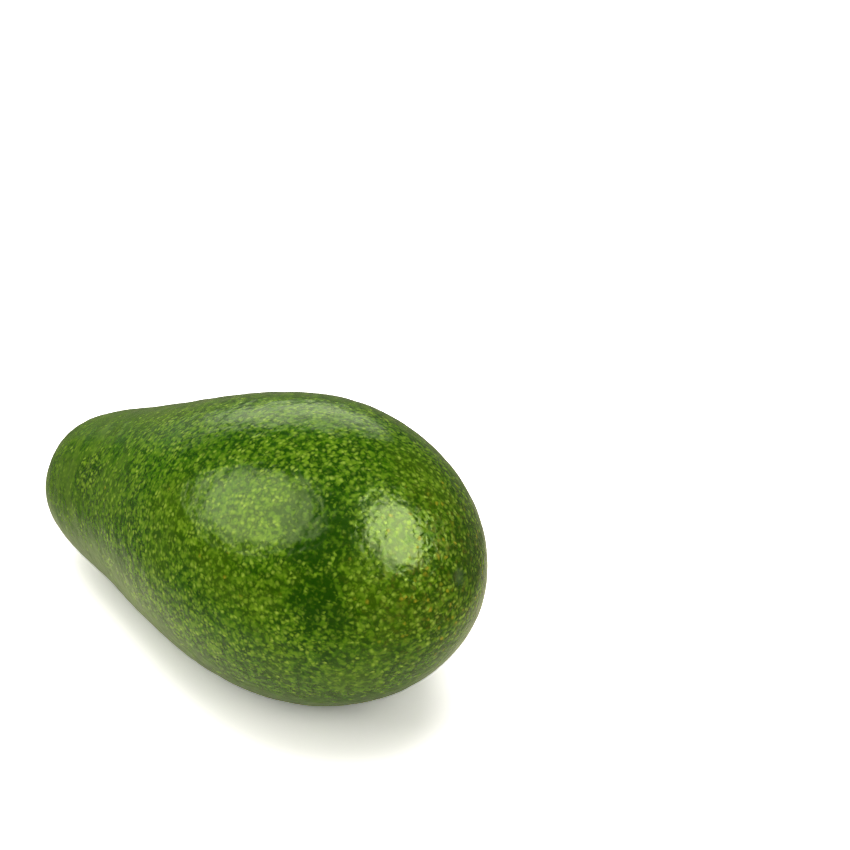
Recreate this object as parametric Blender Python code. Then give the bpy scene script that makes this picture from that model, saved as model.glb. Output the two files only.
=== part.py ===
"""A whole green-skinned avocado, as picked, lying on its side on a small flat spot.

Metres, +Z up. +X runs towards the broad blossom end and -X towards the stem end. The origin is the
middle of the resting spot, straight under the fruit's centre of mass.

A place on the skin is given by two angles. The turn runs along the fruit, from 0 at the blossom end to
pi at the stem end. The other one goes around the fruit's own axis, which lies along X until the fruit
is laid down.
"""

import math

import bmesh
import bpy
import numpy as np
from mathutils import Matrix, Vector

# Size of the fruit
LENGTH = 0.1268
DIAMETER = 0.068

# Pear shape: the radius is sin(turn) times 1 plus these factors of the rising powers of cos(turn)
PEAR_FACTORS = (0.432, -0.060, -0.297, 0.189, -0.138)
# How far the stem end has grown off the axis, towards -Y
BOW = 0.0015

# Lobes that keep the fruit from being perfectly round: count around, waves along, height, phase.
# A height is a share of the radius.
LOBES = (
    (2, 0.0, 0.0050, 0.6),
    (3, 1.6, 0.0045, 2.2),
    (4, 3.1, 0.0030, 4.4),
    (5, 5.3, 0.0020, 1.1),
)

# Dimple that holds the stem button, with shallow folds in its shoulder
DIMPLE_RADIUS = 0.0078
DIMPLE_DEPTH = 0.0024
FOLD_COUNT = 5
FOLD_HEIGHT = 0.00022

# Scar left by the blossom, beside the broad end's pole: how far off the axis, and which way
SCAR_OFFSET = 0.0049
SCAR_AROUND = math.radians(43)
SCAR_RADIUS = 0.0026
SCAR_DEPTH = 0.0003

# Stem button
BUTTON_RADIUS = 0.0036
BUTTON_HEIGHT = 0.0030
BUTTON_LOBES = 6
BUTTON_LOBE_HEIGHT = 0.06
BUTTON_PIT_SHARE = 0.28
BUTTON_PIT_WIDTH = 0.34
FIT_GAP = 0.00035

# The skin is flattened this far up where the fruit rests
FLAT_DEPTH = 0.00045
TILT_RANGE = math.radians(30)
TILT_STEPS = 601

# Fineness of the meshes
FRUIT_SIDES = 64
FRUIT_RINGS = 54
END_CROWDING = 0.30
BUTTON_SIDES = 30
BUTTON_RINGS = 9


def pear(turn):
    """The profile's radius before it is scaled to the diameter."""
    along = math.cos(turn)
    fullness = 1 + sum(f * along**power for power, f in enumerate(PEAR_FACTORS, 1))
    return math.sin(turn) * fullness


WIDEST = max(pear(math.pi * step / 2000) for step in range(2001))


def radius(turn):
    """Distance from the fruit's axis to the skin, without lobes."""
    return DIAMETER / 2 * pear(turn) / WIDEST


def bowl(distance, reach):
    """1 in the middle of a smooth round bowl, falling to 0 at its reach."""
    share = min(distance / reach, 1)
    return (1 - share**2) ** 2


def skin_point(turn, around):
    """The place on the skin at these two angles, with the fruit's axis along X."""
    reach = radius(turn)
    lobed = reach * (1 + sum(h * math.cos(n * around + k * turn + p) for n, k, h, p in LOBES))
    y = lobed * math.cos(around)
    z = lobed * math.sin(around)
    x = LENGTH / 2 * math.cos(turn)
    if turn > math.pi / 2:
        x += DIMPLE_DEPTH * bowl(reach, DIMPLE_RADIUS)
        shoulder = bowl(abs(reach - DIMPLE_RADIUS), DIMPLE_RADIUS)
        x += FOLD_HEIGHT * shoulder * math.cos(FOLD_COUNT * around)
    else:
        scar_y = SCAR_OFFSET * math.cos(SCAR_AROUND)
        scar_z = SCAR_OFFSET * math.sin(SCAR_AROUND)
        x -= SCAR_DEPTH * bowl(math.hypot(y - scar_y, z - scar_z), SCAR_RADIUS)
    stemward = (1 - math.cos(turn)) / 2
    return Vector((x, y - BOW * stemward**2, z))


def grid_mesh(name, first, rings, last):
    """A closed skin over rings of points, from one pole to the other."""
    shape = bmesh.new()
    start = shape.verts.new(first)
    loops = [[shape.verts.new(point) for point in ring] for ring in rings]
    end = shape.verts.new(last)
    sides = len(rings[0])
    for side in range(sides):
        following = (side + 1) % sides
        shape.faces.new((start, loops[0][side], loops[0][following]))
        for one, other in zip(loops, loops[1:]):
            shape.faces.new((one[side], other[side], other[following], one[following]))
        shape.faces.new((loops[-1][following], loops[-1][side], end))
    bmesh.ops.recalc_face_normals(shape, faces=shape.faces)
    mesh = bpy.data.meshes.new(name)
    shape.to_mesh(mesh)
    shape.free()
    mesh.shade_smooth()
    return mesh


def around_angles(sides):
    return [2 * math.pi * side / sides for side in range(sides)]


def fruit_mesh():
    """The whole fruit with its axis along X, its rings closer together at both ends."""
    shares = [ring / (FRUIT_RINGS + 1) for ring in range(1, FRUIT_RINGS + 1)]
    turns = [math.pi * share - END_CROWDING * math.sin(2 * math.pi * share) for share in shares]
    rings = [[skin_point(turn, around) for around in around_angles(FRUIT_SIDES)] for turn in turns]
    return grid_mesh("avocado_fruit", skin_point(0, 0), rings, skin_point(math.pi, 0))


def turn_at(reach):
    """The turn near the stem end where the skin is this far from the axis."""
    low, high = math.pi * 0.8, math.pi
    for _ in range(40):
        middle = (low + high) / 2
        if radius(middle) > reach:
            low = middle
        else:
            high = middle
    return (low + high) / 2


def button_mesh():
    """A domed, lobed button whose underside follows the floor of the dimple."""
    angles = around_angles(BUTTON_SIDES)
    lift = Vector((-FIT_GAP, 0, 0))

    def underside(share, around):
        lobe = 1 + BUTTON_LOBE_HEIGHT * share * math.cos(BUTTON_LOBES * around)
        return skin_point(turn_at(BUTTON_RADIUS * share * lobe), around) + lift

    def dome(share, around):
        pit = BUTTON_PIT_SHARE * math.exp(-((share / BUTTON_PIT_WIDTH) ** 2))
        height = BUTTON_HEIGHT * math.sqrt(1 - share**4) * (1 - pit)
        return underside(share, around) - Vector((height, 0, 0))

    shares = [ring / BUTTON_RINGS for ring in range(1, BUTTON_RINGS + 1)]
    inner = [math.sin(math.pi / 2 * share) for share in shares[:-1]]
    below = [[underside(share, around) for around in angles] for share in shares]
    above = [[dome(share, around) for around in angles] for share in reversed(inner)]
    return grid_mesh("stem_button", underside(0, 0), below + above, dome(0, 0))


def points_of(mesh):
    points = np.empty(len(mesh.vertices) * 3)
    mesh.vertices.foreach_get("co", points)
    return points.reshape(-1, 3)


def centre_of_mass(mesh):
    """The middle of a closed mesh's volume, from the tetrahedra between its triangles and the origin."""
    mesh.calc_loop_triangles()
    corners = points_of(mesh)[[tuple(triangle.vertices) for triangle in mesh.loop_triangles]]
    volumes = np.linalg.det(corners) / 6
    return Vector((volumes[:, None] * corners.sum(axis=1) / 4).sum(axis=0) / volumes.sum())


def laid_down(mesh):
    """The turn and move that lay the fruit on a surface, with its centre of mass as low as it goes."""
    points = points_of(mesh)
    centre = centre_of_mass(mesh)
    best = None
    for tilt in np.linspace(-TILT_RANGE, TILT_RANGE, TILT_STEPS):
        turned = Matrix.Rotation(-tilt, 4, "Y")
        lowest = (points @ np.array(turned)[2, :3]).min()
        height = (turned @ centre).z - lowest
        if best is None or height < best[0]:
            best = (height, turned, lowest)
    _, turned, lowest = best
    over = turned @ centre
    return Matrix.Translation((-over.x, -over.y, -lowest - FLAT_DEPTH)) @ turned


def flatten_underneath(mesh):
    """Cuts off what is below z = 0 and closes the cut with one flat face."""
    shape = bmesh.new()
    shape.from_mesh(mesh)
    everything = shape.verts[:] + shape.edges[:] + shape.faces[:]
    cut = bmesh.ops.bisect_plane(
        shape, geom=everything, dist=1e-6, plane_co=(0, 0, 0), plane_no=(0, 0, 1), clear_inner=True
    )
    rim = [part for part in cut["geom_cut"] if isinstance(part, bmesh.types.BMEdge)]
    for vert in {vert for edge in rim for vert in edge.verts}:
        vert.co.z = 0
    bmesh.ops.contextual_create(shape, geom=rim)
    bmesh.ops.recalc_face_normals(shape, faces=shape.faces)
    shape.to_mesh(mesh)
    shape.free()
    for polygon in mesh.polygons:
        polygon.use_smooth = len(polygon.vertices) <= 5


def material(name, colour, roughness):
    made = bpy.data.materials.new(name)
    made.use_nodes = True
    shader = made.node_tree.nodes["Principled BSDF"]
    shader.inputs["Base Color"].default_value = (*colour, 1)
    shader.inputs["Roughness"].default_value = roughness
    shader.inputs["Metallic"].default_value = 0
    return made


def add(mesh, finish):
    mesh.materials.append(finish)
    made = bpy.data.objects.new(mesh.name, mesh)
    bpy.context.scene.collection.objects.link(made)
    return made


def clear_scene():
    for old in list(bpy.data.objects):
        bpy.data.objects.remove(old)


def main():
    clear_scene()
    fruit = fruit_mesh()
    button = button_mesh()
    placed = laid_down(fruit)
    fruit.transform(placed)
    button.transform(placed)
    flatten_underneath(fruit)
    add(fruit, material("avocado_skin", (0.085, 0.190, 0.030), 0.42))
    add(button, material("dry_stem", (0.115, 0.070, 0.032), 0.80))


main()
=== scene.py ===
"""Looks of a whole green-skinned avocado that lies on a white floor, in soft studio light.

The fruit and its stem button are modelled again here, finely, on the same formulas as the solids that
they replace. A place on the skin is given by two angles: the turn, from 0 at the blossom end to pi at
the stem end, and the angle around the fruit's own axis, which lies along X until the fruit is laid down.

Lengths are in metres. The materials work in millimetres, in the fruit's own axes, with the origin in
the fruit's middle and +X towards the blossom end.
"""

import math
from collections import namedtuple

import bpy
import numpy as np
from mathutils import Matrix, Quaternion, Vector, noise


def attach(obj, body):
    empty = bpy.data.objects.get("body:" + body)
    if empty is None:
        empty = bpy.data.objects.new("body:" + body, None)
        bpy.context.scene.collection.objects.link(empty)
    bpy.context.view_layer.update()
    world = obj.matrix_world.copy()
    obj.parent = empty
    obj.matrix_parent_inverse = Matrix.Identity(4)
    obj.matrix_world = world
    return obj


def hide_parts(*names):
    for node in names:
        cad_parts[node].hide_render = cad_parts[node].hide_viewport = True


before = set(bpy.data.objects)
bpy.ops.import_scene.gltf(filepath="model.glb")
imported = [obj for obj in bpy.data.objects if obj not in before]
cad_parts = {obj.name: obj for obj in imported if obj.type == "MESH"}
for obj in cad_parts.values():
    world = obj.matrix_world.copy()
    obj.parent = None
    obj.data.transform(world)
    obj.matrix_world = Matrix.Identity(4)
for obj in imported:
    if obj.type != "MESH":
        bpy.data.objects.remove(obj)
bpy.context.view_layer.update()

MM = 0.001

# The fruit's size and form, as in the solids
LENGTH = 0.1268
DIAMETER = 0.068
# The radius is sin(turn) times 1 plus these factors of the rising powers of cos(turn)
PEAR_FACTORS = (0.432, -0.060, -0.297, 0.189, -0.138)
# How far the stem end has grown off the axis
BOW = 0.0015
# Lobes that keep the fruit from being round: count around, waves along, share of the radius, phase
LOBES = (
    (2, 0.0, 0.0050, 0.6),
    (3, 1.6, 0.0045, 2.2),
    (4, 3.1, 0.0030, 4.4),
    (5, 5.3, 0.0020, 1.1),
)
DIMPLE_RADIUS = 0.0078
DIMPLE_DEPTH = 0.0024
FOLD_COUNT = 5
FOLD_HEIGHT = 0.00022
SCAR_OFFSET = 0.0049
SCAR_AROUND = math.radians(43)
SCAR_RADIUS = 0.0026
SCAR_DEPTH = 0.0003
BUTTON_RADIUS = 0.0036
BUTTON_HEIGHT = 0.0030
BUTTON_LOBES = 6
BUTTON_LOBE_HEIGHT = 0.06
BUTTON_PIT_SHARE = 0.28
BUTTON_PIT_WIDTH = 0.34
FIT_GAP = 0.00035
# The fine button is set this much lower, so that its lobes stay inside the solid one
BUTTON_INSET = 0.00012
FLAT_DEPTH = 0.00045
TILT_RANGE = math.radians(30)
TILT_STEPS = 601
SOLID_SIDES = 64
SOLID_RINGS = 54
END_CROWDING = 0.30
# The turn from which the stem end's dimple is looked up
DIMPLE_SEARCH_FROM = math.pi * 0.8

# Fineness of the skin: cells along the fruit, and cells across it on each of its four long sides
CELLS_ALONG = 190
CELLS_ACROSS = 98
BUTTON_SIDES = 120
BUTTON_RINGS = 36

# Relief, as (wave length, height, seed). It only goes inwards, so the size stays.
DENTS = (0.0120, 0.00022, 11)
PEBBLES = (0.0042, 0.00015, 37)
GRAIN = (0.0025, 0.00009, 71)
BUTTON_ROUGHNESS = ((0.0011, 0.00016, 5), (0.0005, 0.00008, 9))
# Ridges around the neck, drawn out by the stretch, take the place of this share of the pebbles there
RIDGES = (0.0034, 0.00026, 53)
RIDGE_STRETCH = 0.42
PEBBLES_LOST = 0.4
# Where the ridges begin and are full, as shares of the way from the blossom end to the stem end
RIDGE_RANGE = (0.45, 0.80)
# Creases beside the stem, as (count around, height), and their sway as (wave length, radians, seed)
STEM_CREASES = (17, 0.00016)
CREASE_SWAY = (0.006, 2.5, 91)

# The photograph's view: a camera fitted to the fruit's outline in the picture. The focal length and
# the place where LOOKED_AT shows, from the picture's top left corner, are in pixels.
PICTURE_SIDE = 850
SENSOR_WIDTH = 36
CAMERA_AZIMUTH = math.radians(45.18)
CAMERA_ELEVATION = math.radians(34)
CAMERA_DISTANCE = 0.748
CAMERA_FOCUS = 3389.6
PICTURE_PLACE = (273.9, 537.4)
LOOKED_AT = Vector((0, 0, 0.032))


def pear(turn):
    along = np.cos(turn)
    return np.sin(turn) * (1 + sum(f * along**power for power, f in enumerate(PEAR_FACTORS, 1)))


WIDEST = pear(np.linspace(0, math.pi, 2001)).max()


def radius(turn):
    """Distance from the fruit's axis to the skin, without lobes."""
    return DIAMETER / 2 * pear(turn) / WIDEST


def bowl(distance, reach):
    """1 in the middle of a smooth round bowl, falling to 0 at its reach."""
    return (1 - np.minimum(distance / reach, 1) ** 2) ** 2


def scar_place():
    """The scar's middle, across the fruit's axis."""
    return SCAR_OFFSET * math.cos(SCAR_AROUND), SCAR_OFFSET * math.sin(SCAR_AROUND)


def skin(turn, around):
    """The places on the skin at these angles, with the fruit's axis along X."""
    reach = radius(turn)
    lobed = reach * (1 + sum(h * np.cos(n * around + k * turn + p) for n, k, h, p in LOBES))
    y = lobed * np.cos(around)
    z = lobed * np.sin(around)
    stem_half = turn > math.pi / 2
    dimple = DIMPLE_DEPTH * bowl(reach, DIMPLE_RADIUS)
    shoulder = bowl(np.abs(reach - DIMPLE_RADIUS), DIMPLE_RADIUS)
    folds = FOLD_HEIGHT * shoulder * np.cos(FOLD_COUNT * around)
    scar_y, scar_z = scar_place()
    scar = SCAR_DEPTH * bowl(np.hypot(y - scar_y, z - scar_z), SCAR_RADIUS)
    x = LENGTH / 2 * np.cos(turn) + np.where(stem_half, dimple + folds, -scar)
    stemward = (1 - np.cos(turn)) / 2
    return np.stack([x, y - BOW * stemward**2, z], axis=-1)


def centre_of_mass(points, cells):
    """The middle of a closed form's volume, from the tetrahedra between its surface and the origin."""
    triangles = np.concatenate([cells[:, [0, 1, 2]], cells[:, [0, 2, 3]]])
    corners = points[triangles]
    volumes = np.linalg.det(corners) / 6
    return Vector((volumes[:, None] * corners.sum(axis=1) / 4).sum(axis=0) / volumes.sum())


def laid_down():
    """The turn and move that lay the solid fruit down, with its centre of mass as low as it goes."""
    share = np.arange(SOLID_RINGS + 2) / (SOLID_RINGS + 1)
    turns = math.pi * share - END_CROWDING * np.sin(2 * math.pi * share)
    arounds = 2 * math.pi * np.arange(SOLID_SIDES) / SOLID_SIDES
    turn, around = np.meshgrid(turns, arounds, indexing="ij")
    points = skin(turn, around).reshape(-1, 3)
    ring, side = np.meshgrid(np.arange(SOLID_RINGS + 1), np.arange(SOLID_SIDES), indexing="ij")
    here = ring * SOLID_SIDES + side
    beside = ring * SOLID_SIDES + (side + 1) % SOLID_SIDES
    cells = np.stack([here, here + SOLID_SIDES, beside + SOLID_SIDES, beside], axis=-1).reshape(-1, 4)
    centre = centre_of_mass(points, cells)
    best = None
    for tilt in np.linspace(-TILT_RANGE, TILT_RANGE, TILT_STEPS):
        turned = Matrix.Rotation(-tilt, 4, "Y")
        lowest = (points @ np.array(turned)[2, :3]).min()
        height = (turned @ centre).z - lowest
        if best is None or height < best[0]:
            best = (height, turned, lowest)
    _, turned, lowest = best
    over = turned @ centre
    return Matrix.Translation((-over.x, -over.y, -lowest - FLAT_DEPTH)) @ turned


def moved(points, matrix):
    """The points after this turn and move."""
    turned = np.array(matrix)
    return points @ turned[:3, :3].T + turned[:3, 3]


def box_lattice(counts):
    """The surface cells of a box of cells: each cell's four lattice corners, facing out, its side's
    number, and each corner's place in that side, from 0 to 1, with the X axis first on long sides."""
    corners, sides, places = [], [], []
    for axis in range(3):
        u_axis, v_axis = (axis + 1) % 3, (axis + 2) % 3
        u, v = np.meshgrid(np.arange(counts[u_axis]), np.arange(counts[v_axis]), indexing="ij")
        u, v = u.ravel(), v.ravel()
        for far in (0, 1):
            ring = [(0, 0), (1, 0), (1, 1), (0, 1)]
            if not far:
                ring.reverse()
            cell = np.zeros((len(u), 4, 3), int)
            for corner, (du, dv) in enumerate(ring):
                cell[:, corner, axis] = far * counts[axis]
                cell[:, corner, u_axis] = u + du
                cell[:, corner, v_axis] = v + dv
            share = cell / np.array(counts)
            first, second = (0, 3 - axis) if axis else (1, 2)
            corners.append(cell)
            sides.append(np.full(len(u), 2 * axis + far))
            places.append(share[:, :, [first, second]])
    return np.concatenate(corners), np.concatenate(sides), np.concatenate(places)


# Shares of the texture map: the four long sides lie under each other, and the two ends beside them
MAP_LONG_SHARE = 0.76
MAP_MARGIN = 0.004


def map_places(sides, places):
    """Each corner's place in a map with an island for each side of the box."""
    ends = sides < 2
    row = np.where(ends, sides, sides - 2)
    rows = np.where(ends, 2, 4)
    left = np.where(ends, MAP_LONG_SHARE, 0)
    width = np.where(ends, 1 - MAP_LONG_SHARE, MAP_LONG_SHARE)
    low = np.stack([left, row / rows], axis=-1) + MAP_MARGIN
    size = np.stack([width, 1 / rows], axis=-1) - 2 * MAP_MARGIN
    return low[:, None] + places * size[:, None]


def wave(points, length, seed, stretch=1.0):
    """Smooth noise from -1 to 1 with about this wave length, drawn out across X by the stretch."""
    scaled = points / length * np.array([1, stretch, stretch]) + seed
    return np.array([noise.noise(Vector(place)) for place in scaled])


def hollows(points, length, height, seed, stretch=1.0):
    """Depths of noise hollows, from 0 to the height."""
    return height * (0.5 + 0.5 * wave(points, length, seed, stretch))


def skin_relief(points, normals):
    """Moves the skin's points inwards by dents, pebbles and grain, and by ridges around the neck."""
    stemward = 0.5 - points[:, 0] / LENGTH
    neck = np.interp(stemward, RIDGE_RANGE, (0, 1))
    depth = hollows(points, *DENTS) + hollows(points, *GRAIN)
    depth += (1 - PEBBLES_LOST * neck) * hollows(points, *PEBBLES)
    depth += neck * hollows(points, *RIDGES, RIDGE_STRETCH)

    reach = np.hypot(points[:, 1], points[:, 2])
    around = np.arctan2(points[:, 2], points[:, 1])
    near_stem = np.where(stemward > 0.5, bowl(np.maximum(reach - DIMPLE_RADIUS / 2, 0), DIMPLE_RADIUS), 0)
    count, height = STEM_CREASES
    length, sway, seed = CREASE_SWAY
    creases = np.cos(count * around + sway * wave(points, length, seed))
    depth += height * near_stem * (0.5 + 0.5 * creases)
    return points - normals * depth[:, None]


def smooth_mesh(name, points, cells):
    mesh = bpy.data.meshes.new(name)
    mesh.from_pydata(points.tolist(), [], cells)
    mesh.shade_smooth()
    return mesh


def normals_of(mesh):
    found = np.empty(len(mesh.vertices) * 3, np.float32)
    mesh.vertex_normals.foreach_get("vector", found)
    return found.reshape(-1, 3).astype(float)


def keep_own_place(mesh, points):
    """Stores where each point lies in the fruit's own axes, in millimetres, for the materials."""
    kept = mesh.attributes.new("own_place", "FLOAT_VECTOR", "POINT")
    kept.data.foreach_set("vector", (points / MM).astype(np.float32).ravel())


def fruit_skin(placed):
    """The fine skin of the whole fruit, flat where it rests."""
    counts = (CELLS_ALONG, CELLS_ACROSS, CELLS_ACROSS)
    corners, sides, places = box_lattice(counts)
    lattice, index = np.unique(corners.reshape(-1, 3), axis=0, return_inverse=True)
    cells = index.reshape(-1, 4).tolist()
    # Even angles, so that the cells stay alike towards the box's edges
    on_box = np.tan(math.pi / 4 * (2 * lattice / np.array(counts) - 1))
    ray = on_box / np.linalg.norm(on_box, axis=1)[:, None]
    turn = np.arccos(np.clip(ray[:, 0], -1, 1))
    around = np.arctan2(ray[:, 2], ray[:, 1])
    own = skin(turn, around)
    plain = smooth_mesh("plain_skin", own, cells)
    points = moved(skin_relief(own, normals_of(plain)), placed)
    bpy.data.meshes.remove(plain)
    points[:, 2] = np.maximum(points[:, 2], 0)
    mesh = smooth_mesh("avocado_skin_fine", points, cells)
    keep_own_place(mesh, own)
    # A bake of the materials uses the map of this name
    baked = mesh.uv_layers.new(name="OFBake")
    baked.uv.foreach_set("vector", map_places(sides, places).astype(np.float32).ravel())
    return mesh


def turn_at(reach):
    """The turns near the stem end where the skin is this far from the axis."""
    turns = np.linspace(math.pi, DIMPLE_SEARCH_FROM, 2001)
    return np.interp(reach, radius(turns), turns)


def button_rings():
    """The points of the button's rings, with the fruit's axis along X: up its underside, then its dome."""
    angles = 2 * math.pi * np.arange(BUTTON_SIDES) / BUTTON_SIDES
    below = np.sin(math.pi / 2 * np.arange(1, BUTTON_RINGS + 1) / BUTTON_RINGS)
    share, around = np.meshgrid(np.concatenate([below, below[-2::-1]]), angles, indexing="ij")
    lobe = 1 + BUTTON_LOBE_HEIGHT * share * np.cos(BUTTON_LOBES * around)
    points = skin(turn_at(BUTTON_RADIUS * share * lobe), around)
    points[..., 0] -= FIT_GAP
    pit = BUTTON_PIT_SHARE * np.exp(-((share / BUTTON_PIT_WIDTH) ** 2))
    height = BUTTON_HEIGHT * np.sqrt(1 - share**4) * (1 - pit)
    points[BUTTON_RINGS:, :, 0] -= (height - BUTTON_INSET)[BUTTON_RINGS:]
    return points


def closed_cells(rings, sides):
    """The faces of a closed form: a pole, rings of points, and the other pole."""
    last = 1 + rings * sides
    edge = last - sides
    cells = []
    for side in range(sides):
        following = (side + 1) % sides
        cells.append([0, 1 + following, 1 + side])
        for ring in range(rings - 1):
            here, beyond = 1 + ring * sides, 1 + (ring + 1) * sides
            cells.append([here + side, here + following, beyond + following, beyond + side])
        cells.append([edge + side, edge + following, last])
    return cells


def stem_button(placed):
    """The dry, lobed and rough button in the dimple at the stem end."""
    rings = button_rings()
    cells = closed_cells(len(rings), BUTTON_SIDES)
    first = skin(np.array([math.pi]), np.array([0.0])) - [FIT_GAP, 0, 0]
    last = first - [BUTTON_HEIGHT * (1 - BUTTON_PIT_SHARE) - BUTTON_INSET, 0, 0]
    own = np.concatenate([first, rings.reshape(-1, 3), last])
    plain = smooth_mesh("plain_button", own, cells)
    rough = sum(hollows(own, *layer) for layer in BUTTON_ROUGHNESS)
    points = moved(own - normals_of(plain) * rough[:, None], placed)
    bpy.data.meshes.remove(plain)
    mesh = smooth_mesh("stem_button_fine", points, cells)
    keep_own_place(mesh, own)
    return mesh


def linear(red, green, blue):
    """A colour as seen on a screen, 0 to 255, as the amounts of light that materials take."""
    shares = (value / 255 for value in (red, green, blue))
    return tuple(s / 12.92 if s <= 0.04045 else ((s + 0.055) / 1.055) ** 2.4 for s in shares) + (1,)


class Graph:
    """Short ways to add nodes to a material. A value is a number, a colour or another node's output."""

    def __init__(self, name):
        self.material = bpy.data.materials.new(name)
        self.material.use_nodes = True
        self.tree = self.material.node_tree
        self.shader = self.tree.nodes["Principled BSDF"]

    def add(self, kind, settings, inputs, output=0):
        """Adds a node of this kind and gives one of its outputs."""
        node = self.tree.nodes.new(kind)
        for name, value in settings.items():
            setattr(node, name, value)
        for name, value in inputs.items():
            self.set(node.inputs[name], value)
        return node.outputs[output]

    def set(self, socket, value):
        if isinstance(value, bpy.types.NodeSocket):
            self.tree.links.new(value, socket)
        else:
            socket.default_value = value

    def own_place(self):
        return self.add("ShaderNodeAttribute", {"attribute_name": "own_place"}, {}, "Vector")

    def math(self, operation, one, two):
        return self.add("ShaderNodeMath", {"operation": operation}, {0: one, 1: two})

    def plus(self, one, two):
        return self.math("ADD", one, two)

    def times(self, one, two):
        return self.math("MULTIPLY", one, two)

    def greatest(self, one, two):
        return self.math("MAXIMUM", one, two)

    def rest(self, value, share=1.0):
        """What 1 leaves when this share of the value is taken off."""
        return self.math("SUBTRACT", 1, self.times(value, share))

    def weighted(self, *terms):
        """The sum of the values, each times its share."""
        total = 0.0
        for value, share in terms:
            total = self.plus(total, self.times(value, share))
        return total

    def ramp(self, value, start, end, low=0.0, high=1.0):
        """From low to high, smoothly, as the value goes from start to end."""
        inputs = {"Value": value, "From Min": start, "From Max": end, "To Min": low, "To Max": high}
        return self.add("ShaderNodeMapRange", {"interpolation_type": "SMOOTHSTEP"}, inputs)

    def axes(self, place):
        """A place's three coordinates."""
        parts = self.add("ShaderNodeSeparateXYZ", {}, {0: place}, "X")
        return parts, parts.node.outputs["Y"], parts.node.outputs["Z"]

    def scaled(self, place, factors):
        inputs = {0: place, 1: factors}
        return self.add("ShaderNodeVectorMath", {"operation": "MULTIPLY"}, inputs)

    def distance(self, place, point):
        inputs = {0: place, 1: point}
        return self.add("ShaderNodeVectorMath", {"operation": "DISTANCE"}, inputs, "Value")

    def noise(self, place, length, detail=2.0, roughness=0.5, output="Fac"):
        """Noise around 0.5 with features about this long, in the place's unit."""
        inputs = {"Vector": place, "Scale": 1 / length, "Detail": detail, "Roughness": roughness}
        return self.add("ShaderNodeTexNoise", {}, inputs, output)

    def bent(self, place, length, reach):
        """The place moved by noise of this wave length, at most about half this reach each way."""
        around = self.noise(place, length, output="Color")
        settings = {"operation": "MULTIPLY_ADD"}
        start = self.add("ShaderNodeVectorMath", {"operation": "SUBTRACT"}, {0: place, 1: (reach / 2,) * 3})
        return self.add("ShaderNodeVectorMath", settings, {0: around, 1: (reach,) * 3, 2: start})

    def cells(self, place, size):
        """Scattered points: the distance to the nearest one, in cells, and its random colour."""
        inputs = {"Vector": place, "Scale": 1 / size}
        distance = self.add("ShaderNodeTexVoronoi", {}, inputs, "Distance")
        return distance, distance.node.outputs["Color"]

    def rims(self, place, size):
        """The distance to the nearest border between random cells, in cells."""
        inputs = {"Vector": place, "Scale": 1 / size}
        return self.add("ShaderNodeTexVoronoi", {"feature": "DISTANCE_TO_EDGE"}, inputs, "Distance")

    def parts(self, colour):
        """A random colour's three numbers."""
        red = self.add("ShaderNodeSeparateColor", {}, {"Color": colour}, "Red")
        return red, red.node.outputs["Green"], red.node.outputs["Blue"]

    def mix(self, share, one, two, blend="MIX"):
        settings = {"data_type": "RGBA", "blend_type": blend}
        return self.add("ShaderNodeMix", settings, {0: share, 6: one, 7: two}, 2)

    def bump(self, height, distance, strength=1.0, below=None):
        inputs = {"Height": height, "Distance": distance, "Strength": strength}
        if below is not None:
            inputs["Normal"] = below
        return self.add("ShaderNodeBump", {}, inputs)

    def finish(self, **values):
        """Sets the shader's inputs, named with _ for each space, and gives the material."""
        for name, value in values.items():
            self.set(self.shader.inputs[name.replace("_", " ")], value)
        return self.material


DEEP_GREEN = linear(25, 62, 0)
MID_GREEN = linear(54, 97, 0)
OLIVE = linear(74, 102, 2)
NECK_DEEP = linear(44, 80, 4)
NECK_PALE = linear(74, 105, 18)
FLECK_GREEN = linear(118, 152, 32)
FLECK_YELLOW = linear(150, 178, 62)
FLECK_RUST = linear(156, 148, 36)
RUSSET = linear(92, 80, 22)
SCAR_GREY = linear(54, 74, 44)
DIMPLE_BROWN = linear(88, 78, 36)

# The tinge of what the wax reflects head-on, its refractive index, and its range of roughness
WAX_TINT = (0.90, 1.0, 0.60, 1)
WAX_IOR = 1.40
WAX_ROUGHNESS = (0.11, 0.17)

# Darker places with fewer flecks, as (point, reach). The first two are darker patches of the skin; the
# last, at the side of the blossom end, is painted shade, where neighbouring fruits shade the skin.
DARK_AND_SHADED_PLACES = (((45, -17, 20), 12), ((49, -24, 7), 10), ((59, 11, 5), 9))
# The place on the neck where the fine flecks show
NECK_PLACE = ((-33, -18, 14), 7)
# Where the skin is cracked like leather
CRACKED_PLACE = ((59, 2, 13), 8)
# Ragged edges of such places: wave length, sway, and the share of the reach that is all inside
WIDE_EDGE = (5, 12, 0.4)
CLOSE_EDGE = (4, 8, 0.5)
# Where the neck's look begins and is full, as shares of the way from the blossom end to the stem end
NECK_RANGE = (0.50, 0.90)
# Distances from the scar at which the blossom end's look begins and is full
BLOSSOM_RANGE = (34, 8)
# Heights across the fruit between which the flecks of its underside thicken to those of its top
TOP_RANGE = (-26, 0)
# How far behind the fruit's end the scar lies
SCAR_BEHIND = 0.6
# The spots at both ends, as (wave length of the edge, where it begins, where it is full, strength),
# and how far noise sways their edges
SCAR_SPOT = (0.9, 4.2, 2.0, 0.7)
DIMPLE_SPOT = (1.6, 9.0, 5.5, 0.8)
SPOT_SWAY = 3.0

# Sizes of the features in each pattern of noise
PATCH_SIZE = 13
MOTTLE_SIZE = 3.6
SPECK_SIZE = 1.3
OLIVE_SIZE = 22
STREAK_SIZE = 2.1
STREAK_STRETCH = 0.28
CROWD_SIZE = 8
BLOB_SIZE = 1.3
RUSSET_SIZE = 1.8
CRACK_SIZE = 2.4
CRACKING_SIZE = 4
RIPPLE_SIZE = 1.8

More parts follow.
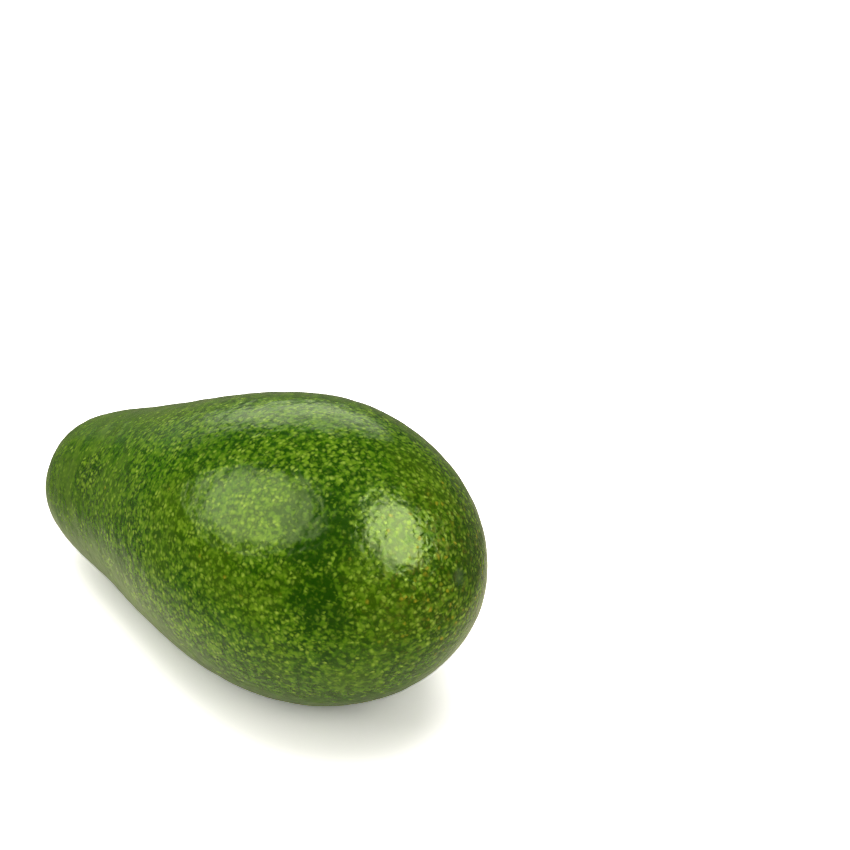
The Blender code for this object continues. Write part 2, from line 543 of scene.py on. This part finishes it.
# Flecks, as (size of the cell that each lies in, how far one reaches), and the noise, as (wave length,
# sway), that pulls them out of shape
LARGE_FLECKS = (1.08, 0.70)
SMALL_FLECKS = (0.72, 0.46)
FLECK_SWAYS = ((2.4, 1.3), (0.8, 0.5))

# Heights of the relief that is too fine for the mesh, in metres
FLECK_HEIGHT = 0.000015
CRACK_DEPTH = 0.00008
RIPPLE_HEIGHT = 0.00010

# What there is of each zone's look at a place, from 0 to 1, and the height across the fruit
Zones = namedtuple("Zones", "neck bare dark blossom height scar dimple cracked")


def ragged_place(graph, place, centre, reach, edge):
    """1 in the middle of a place with a ragged edge, and 0 out of its reach."""
    length, sway, inside = edge
    return graph.ramp(graph.distance(graph.bent(place, length, sway), centre), reach, reach * inside)


def ragged_spot(graph, place, distance, length, begin, full, strength):
    """A spot at one end of the fruit, with an edge that noise sways."""
    swayed = graph.plus(distance, graph.times(graph.noise(place, length, 3), SPOT_SWAY))
    return graph.ramp(swayed, begin, full, 0, strength)


def skin_zones(graph, place):
    """How much of each zone's look is here, and the height across the fruit."""
    half = LENGTH / 2 / MM
    along, _, height = graph.axes(place)
    stemward = graph.ramp(along, half, -half)
    stemward.node.interpolation_type = "LINEAR"
    scar_y, scar_z = (value / MM for value in scar_place())
    from_scar = graph.distance(place, (half - SCAR_BEHIND, scar_y, scar_z))
    from_stem = graph.distance(place, (-half + DIMPLE_DEPTH / MM, -BOW / MM, 0))
    dark = 0.0
    # The last of these places is painted shade of neighbouring fruits, not a colour of the skin
    for centre, reach in DARK_AND_SHADED_PLACES:
        dark = graph.greatest(dark, ragged_place(graph, place, centre, reach, WIDE_EDGE))
    bare = ragged_place(graph, place, *NECK_PLACE, CLOSE_EDGE)
    return Zones(
        neck=graph.times(graph.ramp(stemward, *NECK_RANGE), graph.rest(bare)),
        bare=bare,
        dark=dark,
        blossom=graph.ramp(from_scar, *BLOSSOM_RANGE),
        height=height,
        scar=ragged_spot(graph, place, from_scar, *SCAR_SPOT),
        dimple=ragged_spot(graph, place, from_stem, *DIMPLE_SPOT),
        cracked=ragged_place(graph, place, *CRACKED_PLACE, CLOSE_EDGE),
    )


def ground_colour(graph, place, zones, mottles):
    """The green under the flecks: mottled, olive in parts and streaked on the neck. Also, how olive."""
    depth = graph.weighted(
        (graph.noise(place, PATCH_SIZE), 0.12),
        (mottles, 0.22),
        (graph.noise(place, SPECK_SIZE), 0.66),
        # Darker in the dark patches of the skin, and in the painted shade of neighbouring fruits
        (graph.greatest(zones.dark, zones.bare), -0.09),
        (zones.blossom, -0.03),
    )
    colour = graph.mix(graph.ramp(depth, 0.42, 0.58), DEEP_GREEN, MID_GREEN)
    olive = graph.ramp(graph.noise(place, OLIVE_SIZE), 0.45, 0.70, 0, 0.4)
    olive = graph.times(olive, graph.rest(zones.dark))
    colour = graph.mix(graph.greatest(olive, graph.times(zones.blossom, 0.2)), colour, OLIVE)
    drawn_out = graph.scaled(graph.bent(place, 6, 6), (1.0, STREAK_STRETCH, STREAK_STRETCH))
    streaks = graph.ramp(graph.noise(drawn_out, STREAK_SIZE), 0.38, 0.62)
    streaked = graph.mix(streaks, NECK_DEEP, NECK_PALE)
    return graph.mix(graph.times(zones.neck, 0.85), colour, streaked), olive


def flecks(graph, place, size, reach, presence):
    """Soft pale flecks in random cells: how much of one is here, and its cell's random numbers."""
    distance, colour = graph.cells(place, size)
    one, two, three = graph.parts(colour)
    spot = graph.ramp(distance, reach / size, 0)
    rare = graph.math("SUBTRACT", 1, presence)
    strength = graph.ramp(one, rare, graph.plus(rare, 0.6))
    return graph.times(spot, strength), two, three


def fleck_crowding(graph, place, zones):
    """How crowded the flecks are here."""
    crowding = graph.ramp(graph.noise(place, CROWD_SIZE), 0.34, 0.58, 0.65, 1.0)
    crowding = graph.times(crowding, graph.ramp(zones.neck, 0.0, 0.8, 1.0, 0.55))
    crowding = graph.greatest(crowding, zones.blossom)
    crowding = graph.times(crowding, graph.ramp(zones.height, *TOP_RANGE, 0.5, 1.0))
    # Fewer flecks in the dark patches of the skin, and in the painted shade of neighbouring fruits
    return graph.times(crowding, graph.rest(zones.dark, 0.5))


def flecked(graph, place, bent, zones, olive, colour):
    """The colour with flecks, yellower and rustier towards the blossom end, and both kinds of flecks."""
    crowding = fleck_crowding(graph, place, zones)
    blobs = graph.ramp(graph.noise(bent, BLOB_SIZE, 1), 0.50, 0.70, 0, 0.45)
    colour = graph.mix(graph.times(blobs, crowding), colour, FLECK_GREEN)
    large, tint, odd = flecks(graph, bent, *LARGE_FLECKS, graph.times(crowding, 0.9))
    small, _, _ = flecks(graph, bent, *SMALL_FLECKS, crowding)
    small = graph.times(small, 0.5)
    yellow = graph.greatest(graph.times(tint, tint), graph.times(zones.blossom, 0.8))
    fleck = graph.mix(yellow, FLECK_GREEN, FLECK_YELLOW)
    rusty_above = graph.ramp(graph.greatest(zones.blossom, olive), 0.1, 1, 1.0, 0.80)
    fleck = graph.mix(graph.math("GREATER_THAN", odd, rusty_above), fleck, FLECK_RUST)
    colour = graph.mix(small, colour, FLECK_GREEN)
    return graph.mix(large, colour, fleck), large, small


def weathered(graph, place, zones, colour):
    """The colour with russet at the blossom end, the grey scar and the brown dimple."""
    russet = graph.ramp(graph.noise(place, RUSSET_SIZE, 4, 0.7), 0.50, 0.66)
    russet = graph.times(graph.times(russet, zones.blossom), 0.4)
    colour = graph.mix(russet, colour, RUSSET)
    colour = graph.mix(zones.scar, colour, SCAR_GREY)
    return graph.mix(zones.dimple, colour, DIMPLE_BROWN)


def wax_surface(graph, place, bent, zones, mottles, large, small):
    """The wax's roughness, and its fine relief: raised flecks, cracks and ripples."""
    relief = graph.bump(graph.weighted((large, 1), (small, 0.5)), FLECK_HEIGHT)
    plates = graph.ramp(graph.rims(bent, CRACK_SIZE), 0.0, 0.26)
    deep = graph.ramp(graph.noise(place, CRACKING_SIZE), 0.38, 0.62, 0.1, 1.0)
    deep = graph.times(deep, graph.plus(graph.times(zones.blossom, 0.6), 0.1))
    deep = graph.greatest(deep, zones.cracked)
    relief = graph.bump(plates, CRACK_DEPTH, deep, relief)
    relief = graph.bump(graph.noise(place, RIPPLE_SIZE, 1), RIPPLE_HEIGHT, 1.0, relief)
    dull = graph.weighted(
        (zones.neck, 0.04),
        (large, 0.04),
        (graph.greatest(zones.scar, zones.dimple), 0.3),
        (graph.times(deep, graph.rest(plates)), 0.2),
    )
    return graph.plus(graph.ramp(mottles, 0.3, 0.7, *WAX_ROUGHNESS), dull), relief


def skin_material():
    """Waxy green skin: mottled, with pale flecks that turn to rust at the blossom end."""
    graph = Graph("avocado_skin_waxy")
    place = graph.own_place()
    bent = place
    for length, sway in FLECK_SWAYS:
        bent = graph.bent(bent, length, sway)
    zones = skin_zones(graph, place)
    mottles = graph.noise(place, MOTTLE_SIZE, 3, 0.6)
    ground, olive = ground_colour(graph, place, zones, mottles)
    colour, large, small = flecked(graph, place, bent, zones, olive, ground)
    roughness, relief = wax_surface(graph, place, bent, zones, mottles, large, small)
    return graph.finish(
        Base_Color=weathered(graph, place, zones, colour),
        Roughness=roughness,
        IOR=WAX_IOR,
        Specular_Tint=WAX_TINT,
        Normal=relief,
    )


WOOD_DARK = linear(62, 46, 28)
WOOD_PALE = linear(132, 108, 70)
WOOD_GREY = linear(104, 96, 80)
WOOD_GRAIN_SIZE = 0.8
WOOD_GREY_SIZE = 2.2
WOOD_FIBRE_SIZE = 0.35
WOOD_FIBRE_HEIGHT = 0.0001


def button_material():
    """Dry stalk wood, brown and grey, with a rough grain."""
    graph = Graph("dry_stem_wood")
    place = graph.own_place()
    grain = graph.ramp(graph.noise(place, WOOD_GRAIN_SIZE, 4, 0.7), 0.35, 0.65)
    colour = graph.mix(grain, WOOD_DARK, WOOD_PALE)
    grey = graph.ramp(graph.noise(place, WOOD_GREY_SIZE), 0.45, 0.7, 0, 0.7)
    colour = graph.mix(grey, colour, WOOD_GREY)
    relief = graph.bump(graph.noise(place, WOOD_FIBRE_SIZE, 4, 0.7), WOOD_FIBRE_HEIGHT)
    return graph.finish(Base_Color=colour, Roughness=0.85, Normal=relief)


def add_piece(mesh, material, node):
    mesh.materials.append(material)
    piece = bpy.data.objects.new(mesh.name, mesh)
    bpy.context.scene.collection.objects.link(piece)
    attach(piece, "root")
    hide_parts(node)


def towards(azimuth, elevation):
    """The direction from the fruit towards a camera or light. Azimuth 0 is in front, at -Y."""
    level = math.cos(elevation)
    return Vector((math.sin(azimuth) * level, -math.cos(azimuth) * level, math.sin(elevation)))


FLOOR_SIDE = 3.0
# The floor lies this far under the resting spot, so that their planes don't coincide
FLOOR_DROP = 0.0001
# What the floor gives back of its light: to the camera, as its light on the fruit, and as its mirror
# image in the wax. The photograph shows the floor overexposed, so some are above 1.
FLOOR_SEEN = (2.36, 2.26, 2.22, 1)
FLOOR_LIGHTING = (1.20, 1.13, 0.95, 1)
FLOOR_MIRRORED = (0.90, 0.86, 0.60, 1)
# The mirror image of the floor fades between these distances from the origin, to this share
FLOOR_FADE = (0.035, 0.12)
FLOOR_FAR_SHARE = 0.19


def add_floor():
    """A white floor, which looks darker in the wax than to the camera."""
    half = FLOOR_SIDE / 2
    corners = [(-half, -half, 0), (half, -half, 0), (half, half, 0), (-half, half, 0)]
    mesh = bpy.data.meshes.new("floor")
    mesh.from_pydata(corners, [], [(0, 1, 2, 3)])
    graph = Graph("floor_white")
    seen = graph.add("ShaderNodeLightPath", {}, {}, "Is Camera Ray")
    floor_place = graph.add("ShaderNodeNewGeometry", {}, {}, "Position")
    near = graph.ramp(graph.distance(floor_place, (0, 0, 0)), *reversed(FLOOR_FADE), FLOOR_FAR_SHARE)
    mirrored = graph.mix(near, (0, 0, 0, 1), FLOOR_MIRRORED)
    unseen = graph.mix(seen.node.outputs["Is Glossy Ray"], FLOOR_LIGHTING, mirrored)
    mesh.materials.append(
        graph.finish(
            Base_Color=graph.mix(seen, unseen, FLOOR_SEEN),
            Roughness=0.9,
            Specular_IOR_Level=0.0,
        )
    )
    floor = bpy.data.objects.new("floor", mesh)
    floor.location.z = -FLOOR_DROP
    bpy.context.scene.collection.objects.link(floor)


# Soft oval boxes: azimuth, elevation, distance, width, height, roll, and how bright the lit face is,
# both as it mirrors in the wax and as it lights what it shines on. Angles are in degrees.
SOFT_BOXES = {
    "left_box": (-38.5, 45.5, 1.1, 1.06, 1.36, -45, 4.9, 2.75),
    "right_box": (106, 52.5, 1.1, 1.11, 0.78, 19, 13.2, 1.45),
    "back_wall": (-131, 20, 1.3, 1.02, 0.70, -8, 1.9, 2.0),
    "back_glow": (-124, 8, 1.3, 1.30, 0.50, 0, 0.4, 0.0),
    "ceiling": (-150, 84, 1.3, 1.30, 1.30, 0, 0.0, 2.7),
    "front_fill": (60, 36, 1.2, 0.60, 0.60, 0, 0.0, 2.4),
}
# Tinge of the light that the wax mirrors, and the sizes of the lamps that soften a mirror image's edge
MIRRORED_TINGE = (0.93, 1.0, 0.70)
EDGE_SIZES = (0.80, 0.90, 1.0, 1.10, 1.20)
# Each of those lamps is set this much behind the one before, because lamps at one distance hide each
# other's mirror images
LAMP_STEP = 0.005
# How bright the room is, in its light and in the wax
ROOM_LIGHT = 0.28
ROOM_MIRRORED = 0.07


def add_lamp(name, direction, distance, size, roll, brightness):
    """An oval lamp that faces the fruit. The brightness is that of its lit face."""
    lamp = bpy.data.lights.new(name, "AREA")
    lamp.shape = "ELLIPSE"
    lamp.size, lamp.size_y = size
    area = math.pi / 4 * size[0] * size[1]
    lamp.energy = math.pi * area * brightness
    box = bpy.data.objects.new(name, lamp)
    box.location = LOOKED_AT + direction * distance
    facing = direction.to_track_quat("Z", "Y") @ Quaternion((0, 0, 1), roll)
    box.rotation_euler = facing.to_euler()
    bpy.context.scene.collection.objects.link(box)
    return box


def add_soft_box(name, azimuth, elevation, distance, width, height, roll, mirrored, lighting):
    """A soft box: lamps for its mirror image, and one for its light."""
    direction = towards(math.radians(azimuth), math.radians(elevation))
    turned = math.radians(roll)
    if mirrored:
        for order, share in enumerate(EDGE_SIZES):
            size = (width * share, height * share)
            place = distance + order * LAMP_STEP
            box = add_lamp(f"{name}_shine", direction, place, size, turned, mirrored / len(EDGE_SIZES))
            box.data.color = MIRRORED_TINGE
            box.visible_diffuse = False
    if lighting:
        box = add_lamp(f"{name}_light", direction, distance, (width, height), turned, lighting)
        box.visible_glossy = False


def add_room():
    """An even room light, which the wax mirrors only dimly and the camera sees as white."""
    world = bpy.data.worlds.new("room")
    world.use_nodes = True
    tree = world.node_tree
    room = tree.nodes["Background"]
    room.inputs["Color"].default_value = (1, 1, 1, 1)
    ray = tree.nodes.new("ShaderNodeLightPath")
    dimmed = tree.nodes.new("ShaderNodeMix")
    dimmed.inputs["A"].default_value = ROOM_LIGHT
    dimmed.inputs["B"].default_value = ROOM_MIRRORED
    tree.links.new(ray.outputs["Is Glossy Ray"], dimmed.inputs["Factor"])
    strength = tree.nodes.new("ShaderNodeMath")
    strength.operation = "MAXIMUM"
    tree.links.new(dimmed.outputs["Result"], strength.inputs[0])
    tree.links.new(ray.outputs["Is Camera Ray"], strength.inputs[1])
    tree.links.new(strength.outputs[0], room.inputs["Strength"])
    bpy.context.scene.world = world


def add_camera():
    """The camera that sees the fruit where the photograph shows it, with no shift."""
    back = towards(CAMERA_AZIMUTH, CAMERA_ELEVATION)
    right = Vector((math.cos(CAMERA_AZIMUTH), math.sin(CAMERA_AZIMUTH), 0))
    up = back.cross(right)
    per_pixel = CAMERA_DISTANCE / CAMERA_FOCUS
    aside = (PICTURE_PLACE[0] - PICTURE_SIDE / 2) * per_pixel
    above = (PICTURE_SIDE / 2 - PICTURE_PLACE[1]) * per_pixel
    lens = bpy.data.cameras.new("camera")
    lens.sensor_width = SENSOR_WIDTH
    lens.lens = CAMERA_FOCUS / PICTURE_SIDE * SENSOR_WIDTH
    lens.clip_start = 0.01
    camera = bpy.data.objects.new("camera", lens)
    place = LOOKED_AT + back * CAMERA_DISTANCE - right * aside - up * above
    camera.matrix_world = Matrix.Translation(place) @ Matrix((right, up, back)).transposed().to_4x4()
    bpy.context.scene.collection.objects.link(camera)
    bpy.context.scene.camera = camera


placed = laid_down()
add_camera()
add_room()
add_floor()
for box_name, box_values in SOFT_BOXES.items():
    add_soft_box(box_name, *box_values)
add_piece(fruit_skin(placed), skin_material(), "avocado_fruit")
add_piece(stem_button(placed), button_material(), "stem_button")
bpy.context.scene.view_settings.view_transform = "Standard"
